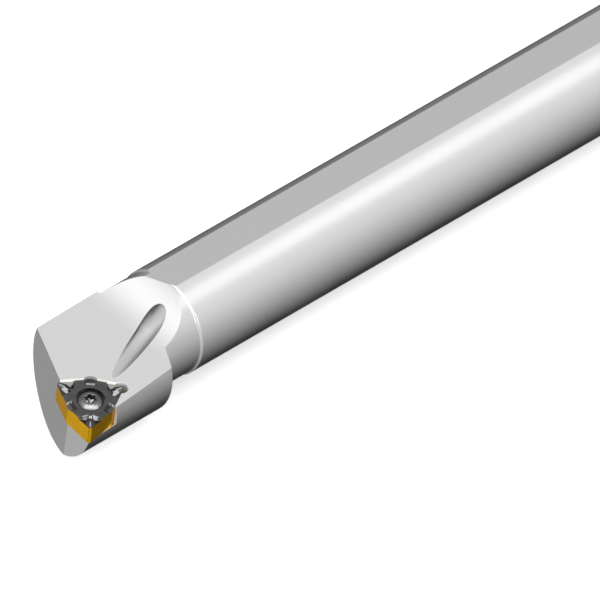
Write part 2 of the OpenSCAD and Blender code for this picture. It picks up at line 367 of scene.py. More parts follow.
def blend_colours(tree, share, first, second):
    """Mixes two colours: first where share is 0, second where it is 1."""
    pair = [c if isinstance(c, bpy.types.NodeSocket) else (*c, 1) for c in (first, second)]
    return add(tree, "Mix", {0: share, 6: pair[0], 7: pair[1]}, data_type="RGBA").outputs[2]


def new_finish(name, metallic):
    """A material with a Principled shader at hand. Gives material, tree, shader and position."""
    finish = bpy.data.materials.new(name)
    finish.use_nodes = True
    tree = finish.node_tree
    shader = tree.nodes["Principled BSDF"]
    shader.inputs["Metallic"].default_value = metallic
    return finish, tree, shader, add(tree, "TexCoord").outputs["Object"]


print("groups to place:", [group.name for group in bpy.data.node_groups])

# %% [markdown]
# ## Where things are on the head
# The top face of the head is tilted two ways. Its own frame has the cutting corner at the origin, X
# along the bar and Z square to the face. The jet's groove and the insert are placed in this frame,
# so the same two turns as in the CAD source are made here.

# %% Frame of the top face
BAR_LENGTH, CUTTING_OFFSET = 180.0, 11.0
SIDE_RAKE, FRONT_RAKE = math.radians(12.5), math.radians(5.7)

to_bar = Matrix.Rotation(FRONT_RAKE, 3, "Y") @ Matrix.Rotation(-SIDE_RAKE, 3, "X")
forward, upright = to_bar @ Vector((1, 0, 0)), to_bar @ Vector((0, 0, 1))
corner_place = Vector((BAR_LENGTH, CUTTING_OFFSET, 0.0))


def on_top_face(points):
    """Points in mm in the top face's frame, turned and moved into the bar's frame, in metres."""
    return (np.asarray(points) @ np.array(to_bar).T + np.array(corner_place)) * MM


print("the top face looks towards", [round(v, 3) for v in upright])

# %% [markdown]
# Coolant runs through the bar and leaves by the jet, a hole that rises flatly out of the top face
# and breaks it in a long groove. Towards the shank the face swings up into the shoulder in a hollow
# round. The numbers are those of the CAD source.

# %% Path of the jet
JET_RADIUS, JET_TURN, JET_RISE = 1.45, math.radians(17.3), math.radians(6.2)
JET_BACK, JET_ACROSS = 22.1, 8.7
BLEND_BACK, BLEND_RADIUS = 17.0, 12.0

jet_start = Vector(on_top_face((-JET_BACK, -JET_ACROSS, 0.0)))
level_reach = math.cos(JET_RISE)
jet_way = to_bar @ Vector(
    (level_reach * math.cos(JET_TURN), level_reach * math.sin(JET_TURN), math.sin(JET_RISE))
)
print("jet leaves the top face at", [round(v / MM, 1) for v in jet_start])

# %% [markdown]
# ## Ground and milled steel
# The shank and head are one piece of steel. Rounds are ground, so they take the turned lines, and
# level faces are milled, so they take the arcs. Which is which follows from the way the surface
# faces. The head's round has an axis of its own, a little to the side of the shank's. All marks are
# faint, as on the photographed bar.

# %% Steel: lines, arcs and grain
LEVEL_SPAN = (0.945, 0.96)
HEAD_START, HEAD_ASIDE = 155.5 * MM, 1.35 * MM
CUTTER_CENTRE = (0.19, -0.035, 0.0)
LINES_PER_METRE, ARCS_PER_METRE = 11000.0, 8000.0
LAY_SHARE, GRAIN_SHARE = 0.75, 0.25

bar_steel, tree, shader, position = new_finish("ground_steel", 1.0)
facing = add(tree, "TexCoord").outputs["Normal"]
upwards = add(tree, "SeparateXYZ", {0: facing}).outputs["Z"]
level_face = ramp(tree, sum_up(tree, "ABSOLUTE", upwards), *LEVEL_SPAN)
along_bar = add(tree, "SeparateXYZ", {0: position}).outputs["X"]
on_head = sum_up(tree, "GREATER_THAN", along_bar, HEAD_START)
head_shift = add(tree, "CombineXYZ", {"Y": product(tree, on_head, HEAD_ASIDE)}).outputs[0]
from_axis = vector_sum(tree, "SUBTRACT", position, head_shift)

rings = place(tree, turned_group, {"From axis": from_axis, "Lines per metre": LINES_PER_METRE})["Lines"]
cutter = {"Position": position, "Centre": CUTTER_CENTRE, "Lines per metre": ARCS_PER_METRE}
marks = place(tree, milled_group, cutter)["Arcs"]
grain = place(tree, grain_group, {"Position": position, "Grain": 9000.0, "Patches": 120.0})
lay = add(tree, "Mix", {0: level_face, 2: rings, 3: marks}).outputs[0]
relief = sum_up(tree, "ADD", product(tree, lay, LAY_SHARE), product(tree, grain["Grain"], GRAIN_SHARE))
print("steel so far:", len(tree.nodes), "nodes")

# %% [markdown]
# A point is in the jet when it lies no further from the jet's axis than its radius. Three more
# measures place it there: how far along it lies, from 0 where the axis leaves the top face; how high
# up the round wall, from -1 on the floor to 1 at the roof; and how far across, from -1 on the side
# away from us to 1 on the near side. A last one is its depth below the groove's rim, which lies on
# the top face or on the hollow round behind it.

# %% Steel: measures of the jet
WALL_SPAN = ((JET_RADIUS + 0.02) * MM, (JET_RADIUS + 0.06) * MM)
BORE_SPAN = (-11 * MM, -10 * MM)

aside = vector_sum(tree, "SUBTRACT", position, jet_start)
from_jet_axis = length(tree, vector_sum(tree, "CROSS_PRODUCT", aside, jet_way))
along_jet = dot(tree, aside, jet_way)
in_jet = product(tree, ramp(tree, from_jet_axis, *WALL_SPAN, 1.0, 0.0), ramp(tree, along_jet, *BORE_SPAN))
square_up = (upright - jet_way * upright.dot(jet_way)).normalized()
up_the_wall = dot(tree, aside, square_up / (JET_RADIUS * MM))
across = dot(tree, aside, square_up.cross(jet_way) / (JET_RADIUS * MM))

over_face = dot(tree, aside, upright)
past_blend = sum_up(tree, "SUBTRACT", (JET_BACK - BLEND_BACK) * MM, dot(tree, aside, forward))
past_blend = sum_up(tree, "MAXIMUM", past_blend, 0.0)
hollow = product(tree, sum_up(tree, "POWER", past_blend, 2.0), 1 / (2 * BLEND_RADIUS * MM))
below_rim = sum_up(tree, "SUBTRACT", hollow, over_face)
print("the hollow round starts", round(JET_BACK - BLEND_BACK, 1), "mm in front of the jet's start")

# %% [markdown]
# A drill leaves its hole duller than ground steel, which the roughness below sets. The jet's colour is
# painted light and shade: the photographed groove is nearly white along its floor, so its floor is
# painted nearly white. Painted shade darkens its wall upwards and just below the rim, makes its near
# side darker than its far side, and darkens all of it towards the mouth. Each of these is a soft step
# over one of the measures, and together they give the share of painted light at a point.

# %% Steel: painted light and shade in the jet
RIM_SPAN, OFF_FLOOR = (0.08 * MM, 0.65 * MM), (-0.85, -0.45)
UPPER_WALL, UPPER_DARK = (-0.68, -0.12), 0.95
NEAR_WALL, NEAR_SHADE = (0.08, 0.66), 0.45
TO_THE_MOUTH, MOUTH_SHADE = (-7 * MM, 9 * MM), 0.38

under_rim = product(tree, ramp(tree, below_rim, *RIM_SPAN, 1.0, 0.0), ramp(tree, up_the_wall, *OFF_FLOOR))
dark_wall = sum_up(tree, "MAXIMUM", under_rim, ramp(tree, up_the_wall, *UPPER_WALL, 0.0, UPPER_DARK))
side_shade = ramp(tree, across, *NEAR_WALL, 1.0, NEAR_SHADE)
mouth_shade = ramp(tree, along_jet, *TO_THE_MOUTH, 1.0, MOUTH_SHADE)
# The share of painted light in the jet: 1 where it is painted pale, less where painted shade falls.
jet_painted_light = product(tree, sum_up(tree, "SUBTRACT", 1.0, dark_wall), side_shade, mouth_shade)
print("the jet's wall turns dark within", round(RIM_SPAN[1] / MM, 2), "mm of its rim")

# %% [markdown]
# A bright bore passes light along from wall to wall, and the photographed groove is light right to
# its back. The render stays darker there, so the floor of the jet is given a painted glow, an emission
# that stands in for that light, most at the back and none past the middle of the groove.

# %% Steel: painted glow on the jet's floor
FLOOR_SPAN, BACK_SPAN = (-1.02, -0.42), (-1.5 * MM, 5.0 * MM)
GLOW_PAINT_COLOUR, GLOW_PAINT_STRENGTH = (1, 1, 0.99), 0.43

low_on_wall = product(tree, ramp(tree, up_the_wall, *FLOOR_SPAN, 1.0, 0.0), side_shade)
far_back = ramp(tree, along_jet, *BACK_SPAN, 1.0, 0.0)
# The share of painted glow: the jet's floor gives off light, though it is no lamp.
painted_glow = product(tree, in_jet, far_back, low_on_wall)
painted_glow_colour = blend_colours(tree, painted_glow, (0, 0, 0), GLOW_PAINT_COLOUR)
tree.links.new(painted_glow_colour, shader.inputs["Emission Color"])
shader.inputs["Emission Strength"].default_value = GLOW_PAINT_STRENGTH
print("the jet's floor gives off light of strength", GLOW_PAINT_STRENGTH)

# %% [markdown]
# The pocket is cut from above. Its walls are the faces near its middle that stand upright and look
# inwards. Two round reliefs widen it, one at the insert's inner corner and one in the middle of the
# back wall, so that nothing there touches the insert. Each is told from the plain walls by how far
# it lies from the middle in its own direction, counted in degrees round the top face.

# %% Steel: masks of the pocket
POCKET_MIDDLE, POCKET_SPAN = (-3.81, -3.81, 0.0), (6.3 * MM, 6.5 * MM)
LOOKS_IN, LOOKS_UP = (0.1, 0.3), (0.3, 0.5)
CORNER_AZIMUTH, CORNER_SPAN = 165, (4.2 * MM, 4.6 * MM)
MIDDLE_AZIMUTH, MIDDLE_SPAN = 225, (3.6 * MM, 3.8 * MM)
FOOT_SPAN = (-1.0 * MM, -0.35 * MM)

to_middle = vector_sum(tree, "SUBTRACT", Vector(on_top_face(POCKET_MIDDLE)), position)
level_distance = length(tree, vector_sum(tree, "CROSS_PRODUCT", to_middle, upright))
looks_in = ramp(tree, dot(tree, facing, vector_sum(tree, "NORMALIZE", to_middle)), *LOOKS_IN)
stands = ramp(tree, sum_up(tree, "ABSOLUTE", dot(tree, facing, upright)), *LOOKS_UP, 1.0, 0.0)
inner_wall = product(tree, looks_in, stands)
in_pocket = product(tree, ramp(tree, level_distance, *POCKET_SPAN, 1.0, 0.0), inner_wall)


def how_far(azimuth):
    """How far a point lies from the pocket's middle in one direction of the top face."""
    turn = math.radians(azimuth)
    outwards = to_bar @ Vector((math.cos(turn), math.sin(turn), 0))
    return dot(tree, to_middle, -outwards)


corner_relief = ramp(tree, how_far(CORNER_AZIMUTH), *CORNER_SPAN)
middle_relief = ramp(tree, how_far(MIDDLE_AZIMUTH), *MIDDLE_SPAN)
# The foot of the middle relief, where painted shade darkens the wall.
painted_shade_at_foot = product(tree, middle_relief, ramp(tree, over_face, *FOOT_SPAN, 1.0, 0.0))
print("steel so far:", len(tree.nodes), "nodes")

# %% [markdown]
# Sharp edges of the mesh would look cut from paper. A Bevel node rounds them in the shading alone,
# which suits a model whose mesh must stay as it is. Where its normal differs from the true one there
# is an edge, and edges are rubbed.

# %% Steel: rubbed edges
EDGE_RADIUS, EDGE_SPAN = 0.08 * MM, (0.01, 0.12)

soft_normal = add(tree, "Bevel", {"Radius": EDGE_RADIUS}, samples=6).outputs[0]
plain_normal = add(tree, "NewGeometry").outputs["Normal"]
turned_away = sum_up(tree, "SUBTRACT", 1.0, dot(tree, soft_normal, plain_normal))
edge = ramp(tree, turned_away, *EDGE_SPAN)
rubbed = place(tree, rubbed_group, {"Position": position, "Edge": edge, "Break up": 900.0})["Rubbed"]
print("edges look rounded by", round(EDGE_RADIUS / MM, 2), "mm")

# %% [markdown]
# The masks now mix the colours, from the plain steel to what lies over it. The pocket's walls are
# bluish. Its corner relief is painted pale, a painted light, and the middle one is painted dark at its
# foot next to the insert, a painted shade.

# %% Steel: colour
STEEL, STEEL_DULL = (0.628, 0.630, 0.623), (0.587, 0.590, 0.584)
RUBBED_STEEL, RUBBED_SHARE = (0.74, 0.74, 0.73), 0.5
# The jet's dark and pale colours are painted shade and painted light.
JET_PAINTED_SHADE, JET_PAINTED_LIGHT = (0.09, 0.09, 0.09), (0.98, 0.98, 0.97)
# The pocket's pale and dark colours are painted light and painted shade.
POCKET_STEEL, POCKET_PAINTED_LIGHT, POCKET_PAINTED_SHADE = (0.48, 0.51, 0.55), (0.64, 0.72, 0.84), (0.12, 0.13, 0.14)

colour = blend_colours(tree, relief, STEEL, STEEL_DULL)
# In the jet, painted light and shade take the place of the plain steel colour.
colour = blend_colours(tree, in_jet, colour, blend_colours(tree, jet_painted_light, JET_PAINTED_SHADE, JET_PAINTED_LIGHT))
# Painted light in the corner relief and painted shade at the middle relief's foot.
pocket_colour = blend_colours(tree, corner_relief, POCKET_STEEL, POCKET_PAINTED_LIGHT)
pocket_colour = blend_colours(tree, painted_shade_at_foot, pocket_colour, POCKET_PAINTED_SHADE)
colour = blend_colours(tree, in_pocket, colour, pocket_colour)
colour = blend_colours(tree, product(tree, rubbed, RUBBED_SHARE), colour, RUBBED_STEEL)
tree.links.new(colour, shader.inputs["Base Color"])
print("linear colour of the steel:", STEEL, "to", STEEL_DULL)

# %% [markdown]
# A drilled or milled hollow scatters light in all directions, so it is both duller and less like a
# mirror than the ground faces. The jet is fully so only deep inside, and half so along the open
# groove. Lines, arcs and grain make the steel a little duller and lift its surface by a hundredth
# of a millimetre at most.

# %% Steel: roughness and bump
PLAIN_ROUGHNESS, LESS_METALLIC = 0.27, -0.8
DEEP_SPAN, OPEN_SHARE = (-3.2 * MM, -1.2 * MM), 0.5
BUMP_STRENGTH, BUMP_HEIGHT = 0.20, 0.01 * MM

deep_inside = ramp(tree, along_jet, *DEEP_SPAN, 1.0, 0.0)
rough_bore = product(tree, in_jet, sum_up(tree, "MULTIPLY_ADD", deep_inside, 1 - OPEN_SHARE, OPEN_SHARE))
drilled = sum_up(tree, "MAXIMUM", rough_bore, in_pocket)
dull = PLAIN_ROUGHNESS
for mask, more in ((relief, 0.035), (grain["Patches"], 0.02), (drilled, 0.22), (rubbed, -0.06)):
    dull = sum_up(tree, "MULTIPLY_ADD", mask, more, dull)
tree.links.new(dull, shader.inputs["Roughness"])
tree.links.new(sum_up(tree, "MULTIPLY_ADD", drilled, LESS_METALLIC, 1.0), shader.inputs["Metallic"])
raised = {"Strength": BUMP_STRENGTH, "Distance": BUMP_HEIGHT, "Height": relief, "Normal": soft_normal}
tree.links.new(add(tree, "Bump", raised).outputs[0], shader.inputs["Normal"])

bar = nodes["bar_body"]
bar.data.materials.clear()
bar.data.materials.append(bar_steel)
print("bar finish:", len(tree.nodes), "nodes")

# %% [markdown]
# ## Pieces from a closed grid
# Both small pieces are worked out as a grid of points: one direction goes round the piece, the other
# follows its section from the bottom, up the outside, over the top and down the hole. Numpy computes
# all points at once. One helper joins each point to its neighbours, closes the seam round the piece,
# and closes the ends of the section with a pole, or joins them into a ring.


# %% Grid to mesh
def piece_from_grid(name, grid, finish, ring=False, crease=28):
    """A closed mesh from points of shape (rows, columns, 3), in metres. Columns go round and close.
    With ring, the last row joins the first; without it, a pole at each end is the mean of its row.
    Edges that turn by more than the crease, in degrees, stay sharp."""
    rows, columns, _ = grid.shape
    row = np.arange(rows if ring else rows - 1)[:, None]
    column = np.arange(columns)[None, :]
    after, beside = (row + 1) % rows, (column + 1) % columns
    corners = (
        row * columns + column, row * columns + beside, after * columns + beside, after * columns + column
    )
    quads = np.stack([c.ravel() for c in np.broadcast_arrays(*corners)], axis=1)
    points, faces = grid.reshape(-1, 3), quads.tolist()
    if not ring:
        poles = np.stack([grid[0].mean(axis=0), grid[-1].mean(axis=0)])
        first, last = rows * columns, rows * columns + 1
        low = np.stack([np.full(columns, first), (column[0] + 1) % columns, column[0]], axis=1)
        high = np.stack([np.full(columns, last), column[0], (column[0] + 1) % columns], axis=1)
        high[:, 1:] += (rows - 1) * columns
        points = np.concatenate([points, poles])
        faces += low.tolist() + high.tolist()
    mesh = bpy.data.meshes.new(name)
    mesh.from_pydata(points.tolist(), [], faces)
    mesh.materials.append(finish)
    mesh.polygons.foreach_set("use_smooth", np.ones(len(faces), dtype=bool))
    mesh.set_sharp_from_angle(angle=math.radians(crease))
    piece = bpy.data.objects.new(name, mesh)
    bpy.context.scene.collection.objects.link(piece)
    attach(piece, "root")
    print(name + ":", len(points), "points,", len(faces), "faces")
    return piece


def keep_number(piece, name, values):
    """Keeps one number per point on the mesh, for the material to read."""
    numbers = piece.data.attributes.new(name, "FLOAT", "POINT")
    numbers.data.foreach_set("value", np.asarray(values, dtype=np.float32).ravel())


print("mesh helpers:", [f.__name__ for f in (piece_from_grid, keep_number)])

# %% [markdown]
# ## The insert
# The insert's outline is a triangle with its sides broken outwards and its corners rounded. It is
# written as a distance from the centre for each angle, because the grid goes round that way. The
# three corners are alike, so the angle is first brought back to the nearest one.

# %% Outline of the insert
INSCRIBED, NOSE, THICK, PLATEAU = 7.0, 0.4, 3.18, 0.12
HALF_CORNER, CORNER_TURN = math.radians(40), math.radians(45)
THIRD_TURN = 2 * math.pi / 3

corner_reach = INSCRIBED / 2 / math.sin(HALF_CORNER)
nose_reach = corner_reach - NOSE / math.sin(HALF_CORNER)
nose_end = math.atan2(NOSE * math.cos(HALF_CORNER), nose_reach + NOSE * math.sin(HALF_CORNER))
to_corner = np.array([math.cos(CORNER_TURN), math.sin(CORNER_TURN), 0])
insert_mid = -(np.array([NOSE, NOSE, 0]) + nose_reach * to_corner)


def from_nearest_corner(angle):
    """The angle less the nearest whole number of third turns, so that it lies within 60 degrees."""
    return angle - THIRD_TURN * np.round(angle / THIRD_TURN)


def outline_radius(angle):
    """Distance from the centre to the rim. Beside a corner it is where the ray leaves the corner's
    circle; elsewhere it is half the inscribed circle over the cosine of the angle to the side."""
    turn = np.abs(from_nearest_corner(angle))
    side = INSCRIBED / 2 / np.cos(turn - (math.pi / 2 - HALF_CORNER))
    under_root = np.maximum(NOSE**2 - (nose_reach * np.sin(turn)) ** 2, 0)
    nose = nose_reach * np.cos(turn) + np.sqrt(under_root)
    return np.where(turn < nose_end, nose, side)


print("insert centre in the top face:", insert_mid.round(2), "corner reach", round(corner_reach, 3))

# %% [markdown]
# The insert is pressed from carbide powder, so its top can be a landscape: each corner has a ridge
# towards the point with a hollowed floor on either side, a wall behind that curls the chip, and a
# notch in the middle of each side. All corners are alike and each is its own mirror image, so the
# height needs only two numbers: how far a point is from the nearest corner along the line to the
# centre, and how far aside of that line. Pressed forms meet in small rounds, never in a sharp line.


# %% Landscape: two numbers and soft joins
def corner_numbers(radius, angle):
    """Distance back from the nearest sharp corner, and distance aside of its middle line."""
    turn = from_nearest_corner(angle)
    return corner_reach - radius * np.cos(turn), np.abs(radius * np.sin(turn))


def higher(a, b, rounding):
    """The higher of two heights, with the meeting line rounded."""
    share = np.clip(0.5 + 0.5 * (a - b) / rounding, 0, 1)
    return b + (a - b) * share + rounding * share * (1 - share)


def soft_step(value, width):
    """From 0 to 1 over a width around 0, with no corner at either end."""
    t = np.clip(value / width + 0.5, 0, 1)
    return t * t * (3 - 2 * t)


print("two level heights join", round(float(higher(0.0, 0.0, 0.05)), 4), "mm higher over 0.05 mm")

# %% [markdown]
# Four forms share the top near a corner, and the highest of them counts. Each is a height in mm
# over the cutting corner. A chip slides over the floor and the ridge and is bent up by the wall. The
# tongue is a narrow spur of the plateau that reaches out over the ridge.

# %% Landscape: four forms
RIM_DROP, RIM_RUN, FLOOR_SLOPE = 0.16, 2.4, 0.42
RIDGE_RUN, RIDGE_RISE, RIDGE_FALL, RIDGE_HALF_WIDTH = 2.3, 0.11, 0.25, 0.07
RIDGE_SLOPE, RIDGE_STEEPER, RIDGE_TURNS_AT = 0.40, 0.22, 1.40
WALL_BACK, WALL_ASIDE, WALL_WAY = 2.56, 0.31, (0.92, 0.39)
WALL_SLOPE, WALL_STEEPER, WALL_TURNS_AT = 1.35, 1.20, 1.15
TONGUE_BACK, TONGUE_FALL, TONGUE_HALF_WIDTH, TONGUE_SLOPE = 2.38, 0.53, 0.22, 2.5


def floor_height(back, aside):
    """Falls by a slope with the distance in from the side. The rim itself sinks with the distance
    from the corner along the side, to the power of one and a half, until its drop is full."""
    from_side = back * np.sin(HALF_CORNER) - aside * np.cos(HALF_CORNER)
    along_side = back * np.cos(HALF_CORNER) + aside * np.sin(HALF_CORNER)
    return -RIM_DROP * np.clip(along_side / RIM_RUN, 0, 1) ** 1.5 - FLOOR_SLOPE * from_side


def ridge_height(back, aside):
    """Rises with the distance back and sinks with its cube. Beside its narrow top it falls by a
    slope, which is steeper further back."""
    share = np.clip(back / RIDGE_RUN, 0, 1.2)
    slope = RIDGE_SLOPE + RIDGE_STEEPER * soft_step(back - RIDGE_TURNS_AT, 0.4)
    return RIDGE_RISE * share - RIDGE_FALL * share**3 - slope * np.maximum(0, aside - RIDGE_HALF_WIDTH)


def wall_height(back, aside):
    """The plateau less a slope times the distance to a slanting line, which is steeper at the sides."""
    into_wall = WALL_WAY[0] * (back - WALL_BACK) + WALL_WAY[1] * (aside - WALL_ASIDE)
    slope = WALL_SLOPE + WALL_STEEPER * soft_step(aside - WALL_TURNS_AT, 0.30)
    return PLATEAU + slope * np.minimum(0, into_wall)


def tongue_height(back, aside):
    """The plateau less a gentle fall towards the corner and a steep one to each side."""
    along = PLATEAU + TONGUE_FALL * np.minimum(0, back - TONGUE_BACK)
    return along - TONGUE_SLOPE * np.maximum(0, aside - TONGUE_HALF_WIDTH)


print("1 mm behind a corner the floor is at", round(float(floor_height(1.0, 0.0)), 3), "mm")
print("1 mm behind a corner the ridge is at", round(float(ridge_height(1.0, 0.0)), 3), "mm")

# %% [markdown]
# The plateau cuts the four forms off, because the insert is flat there. Last, a notch is taken out
# of the middle of each side. Its bed lies under the plateau, climbs a small step on the way out and
# then falls towards the rim.

# %% Landscape: the whole top
JOIN, FINE_JOIN = 0.05, 0.04
NOTCH_START, NOTCH_DEPTH, NOTCH_HALF_WIDTH = 2.60, 0.27, 0.72
NOTCH_STEP, NOTCH_STEP_AT = 0.13, 0.27
NOTCH_FALL, NOTCH_FALLS_FROM = 0.22, 0.42


def notched(height, radius, angle):
    """Lowers the height to the notch's bed, where that is lower and inside the notch's soft edges."""
    turn = math.pi / 3 - np.abs(from_nearest_corner(angle))
    beyond, sideways = radius * np.cos(turn) - NOTCH_START, radius * np.sin(turn)
    bed = PLATEAU - NOTCH_DEPTH + NOTCH_STEP * soft_step(beyond - NOTCH_STEP_AT, 0.28)
    bed = bed - NOTCH_FALL * np.maximum(0, beyond - NOTCH_FALLS_FROM)
    inside = soft_step(beyond + 0.02, 0.22) * soft_step(NOTCH_HALF_WIDTH - np.abs(sideways), 0.30)
    return height + (np.minimum(height, bed) - height) * inside


def top_height(radius, angle):
    """Height of the top in mm over the cutting corners: the highest of floor, ridge, wall and
    tongue, no higher than the plateau, and lowered by the notch."""
    back, aside = corner_numbers(radius, angle)
    height = higher(floor_height(back, aside), ridge_height(back, aside), JOIN)
    height = higher(height, wall_height(back, aside), JOIN)
    height = higher(height, tongue_height(back, aside), FINE_JOIN)
    height = -higher(-height, -PLATEAU, FINE_JOIN)
    return notched(height, radius, angle)


print("height at a corner:", round(float(top_height(nose_reach + NOSE, 0.0)), 3), "mm")

# %% [markdown]
# The section of the insert goes round in a ring: across the underside, up the flank, over the rim
# into the landscape, and down the countersunk hole. The columns crowd towards the corners, where the
# fine shapes are. The cutting edge is honed, which takes off its last hundredths of a millimetre.

# %% Rows of the insert
SPOKES_PER_SIDE, TOP_ROWS = 84, 92
SPOKE_CROWDING, ROW_CROWDING = 1.3, 1.05
HOLE_RADIUS, MOUTH_RADIUS, SEAT_RADIUS, MOUTH_DEPTH = 1.4, 2.05, 1.85, 0.35
SEAT_HALF_ANGLE = math.radians(30)
UNDER_EDGE, LIP, HONE, HONE_IN, HONE_DOWN = 0.06, 0.02, 0.025, 0.008, 0.006
FLANK_SHARES = (0.3, 0.6, 0.85, 0.95)

seat_bottom = MOUTH_DEPTH + (SEAT_RADIUS - HOLE_RADIUS) / math.tan(SEAT_HALF_ANGLE)
step = np.linspace(-1, 1, 2 * SPOKES_PER_SIDE, endpoint=False)
spoke = math.pi / 3 * np.sign(step) * np.abs(step) ** SPOKE_CROWDING
spoke = np.concatenate([spoke + i * THIRD_TURN for i in range(3)])
rim_radius = outline_radius(spoke)
rim_height = top_height(rim_radius, spoke)


def row_of(radius, height):
    """One row of points round the insert: radius and height, each one number or one per spoke."""
    radius, height = np.broadcast_to(radius, spoke.shape), np.broadcast_to(height, spoke.shape)
    turn = spoke + CORNER_TURN
    return np.stack([radius * np.cos(turn), radius * np.sin(turn), height], axis=1)


under = [
    row_of(HOLE_RADIUS, -THICK),
    row_of(rim_radius - UNDER_EDGE, -THICK),
    row_of(rim_radius, -THICK + UNDER_EDGE),
]
flank = [row_of(rim_radius, -THICK + (rim_height + THICK) * share) for share in FLANK_SHARES]
hone = [row_of(rim_radius, rim_height - HONE), row_of(rim_radius - HONE_IN, rim_height - HONE_DOWN)]
way_in = np.linspace(0, 1, TOP_ROWS)[:, None] ** ROW_CROWDING
top_radius = (rim_radius - HONE) + (MOUTH_RADIUS + LIP - rim_radius + HONE) * way_in
top = [row_of(radius, top_height(radius, spoke)) for radius in top_radius]
mouth = [
    row_of(MOUTH_RADIUS, PLATEAU - LIP),
    row_of(MOUTH_RADIUS, PLATEAU - MOUTH_DEPTH),
    row_of(SEAT_RADIUS, PLATEAU - MOUTH_DEPTH),
    row_of(HOLE_RADIUS, PLATEAU - seat_bottom),
]
insert_rows = np.stack(under + flank + hone + top + mouth) + insert_mid
insert_grid = on_top_face(insert_rows)
print("insert grid:", insert_grid.shape)

# %% [markdown]
# The coating has to know where it is on the insert. Three numbers per point are worked out for it:
# whether the point is on top, how far it is from the cutting edge, and whether it lies on the front
# part of a ridge, where a highlight is painted.

# %% Numbers for the coating
RIDGE_START, RIDGE_END, RIDGE_FADE = 0.45, 1.35, 0.2

on_top = np.zeros(insert_rows.shape[:2])
on_top[len(under) + len(flank) :] = 1
outside = len(under) + len(flank) + len(hone)
edge_distance = np.zeros(insert_rows.shape[:2])
edge_distance[:outside] = np.abs(rim_height - insert_rows[:outside, :, 2])
edge_distance[outside : outside + TOP_ROWS] = rim_radius - top_radius
edge_distance[-len(mouth) :] = 1.0

from_mid = np.hypot(insert_rows[..., 0] - insert_mid[0], insert_rows[..., 1] - insert_mid[1])
back, beside = corner_numbers(from_mid, spoke[None, :])
# Where the ridge's painted highlight goes.
ridge_highlight_share = np.clip(1.6 - beside / RIDGE_HALF_WIDTH, 0, 1)
ridge_highlight_share = ridge_highlight_share * soft_step(back - RIDGE_START, RIDGE_FADE) * soft_step(RIDGE_END - back, RIDGE_FADE)
print("points on top:", int(on_top.sum()), "of", on_top.size)

# %% [markdown]
# The coating of the insert is in two colours. The whole insert is coated gold, and the top is then
# given a black, smooth layer, on which chips slide better. Along the cutting edge the black is
# rubbed thin. Along the front of each ridge a pale highlight is painted onto the black. Both layers
# are only a few thousandths of a millimetre thick and show the carbide's grain below, so one material
# holds both and reads the mesh's numbers. A warm Specular Tint keeps the gold deep at grazing angles.

# %% Coating of the insert
GOLD, GOLD_DULL = (0.90, 0.50, 0.020), (0.82, 0.44, 0.016)
BLACK, BLACK_PALE, RIDGE_PAINTED_HIGHLIGHT = (0.072, 0.072, 0.075), (0.086, 0.086, 0.089), (0.50, 0.49, 0.54)
THIN_SPAN, WARM_TINT = (0.003, 0.012), (1.0, 0.84, 0.56, 1)
GOLD_ROUGHNESS, GRAIN_ROUGHNESS, BLACK_SMOOTHER = 0.25, 0.04, -0.09

coating, tree, shader, position = new_finish("coated_carbide", 1.0)
top_mask = add(tree, "Attribute", attribute_name="on_top").outputs["Fac"]
to_edge = add(tree, "Attribute", attribute_name="edge_distance").outputs["Fac"]
ridge_highlight = add(tree, "Attribute", attribute_name="ridge").outputs["Fac"]
grain = place(tree, grain_group, {"Position": position, "Grain": 14000.0, "Patches": 900.0})
near_edge = ramp(tree, to_edge, *THIN_SPAN, 1.0, 0.0)
rubbed = place(tree, rubbed_group, {"Position": position, "Edge": near_edge, "Break up": 4000.0})["Rubbed"]
black_layer = sum_up(tree, "MULTIPLY", top_mask, sum_up(tree, "SUBTRACT", 1.0, rubbed), clamp=True)

gold = blend_colours(tree, grain["Patches"], GOLD, GOLD_DULL)
black = blend_colours(tree, grain["Patches"], BLACK, BLACK_PALE)
# A painted highlight: the front of each ridge is painted pale on the black.
black = blend_colours(tree, ridge_highlight, black, RIDGE_PAINTED_HIGHLIGHT)
tree.links.new(blend_colours(tree, black_layer, gold, black), shader.inputs["Base Color"])
dull = sum_up(tree, "MULTIPLY_ADD", grain["Grain"], GRAIN_ROUGHNESS, GOLD_ROUGHNESS)
dull = sum_up(tree, "MULTIPLY_ADD", black_layer, BLACK_SMOOTHER, dull)
tree.links.new(dull, shader.inputs["Roughness"])
bump = add(tree, "Bump", {"Strength": 0.12, "Distance": 0.004 * MM, "Height": grain["Grain"]})
tree.links.new(bump.outputs[0], shader.inputs["Normal"])
shader.inputs["Specular Tint"].default_value = WARM_TINT
print("coating:", len(tree.nodes), "nodes")

# %% [markdown]
# The grid becomes a mesh, takes its numbers along, and stands in for the plain insert of the CAD
# model. It joins the collection that the strip lamp lights.

# %% Put the insert in its pocket
insert_piece = piece_from_grid("carbide_insert", insert_grid, coating, ring=True)
keep_number(insert_piece, "on_top", on_top)
keep_number(insert_piece, "edge_distance", edge_distance)
# The ridge number marks where the painted highlight goes.
keep_number(insert_piece, "ridge", ridge_highlight_share * on_top)
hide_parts("insert")
strip_lights.objects.link(insert_piece)
print("numbers kept:", [a.name for a in insert_piece.data.attributes if a.data_type == "FLOAT"])

# %% [markdown]
# ## The screw
# The screw is a turned part: a thread, a cone that sits in the insert, a domed head, and a pressed
# six-lobe socket. It is the same kind of grid. The thread is a helix, so its radius depends on the
# height and on the angle together: it rises and falls once for each pitch, and the pattern climbs by
# one pitch in one turn. The socket's radius swings six times round the middle.

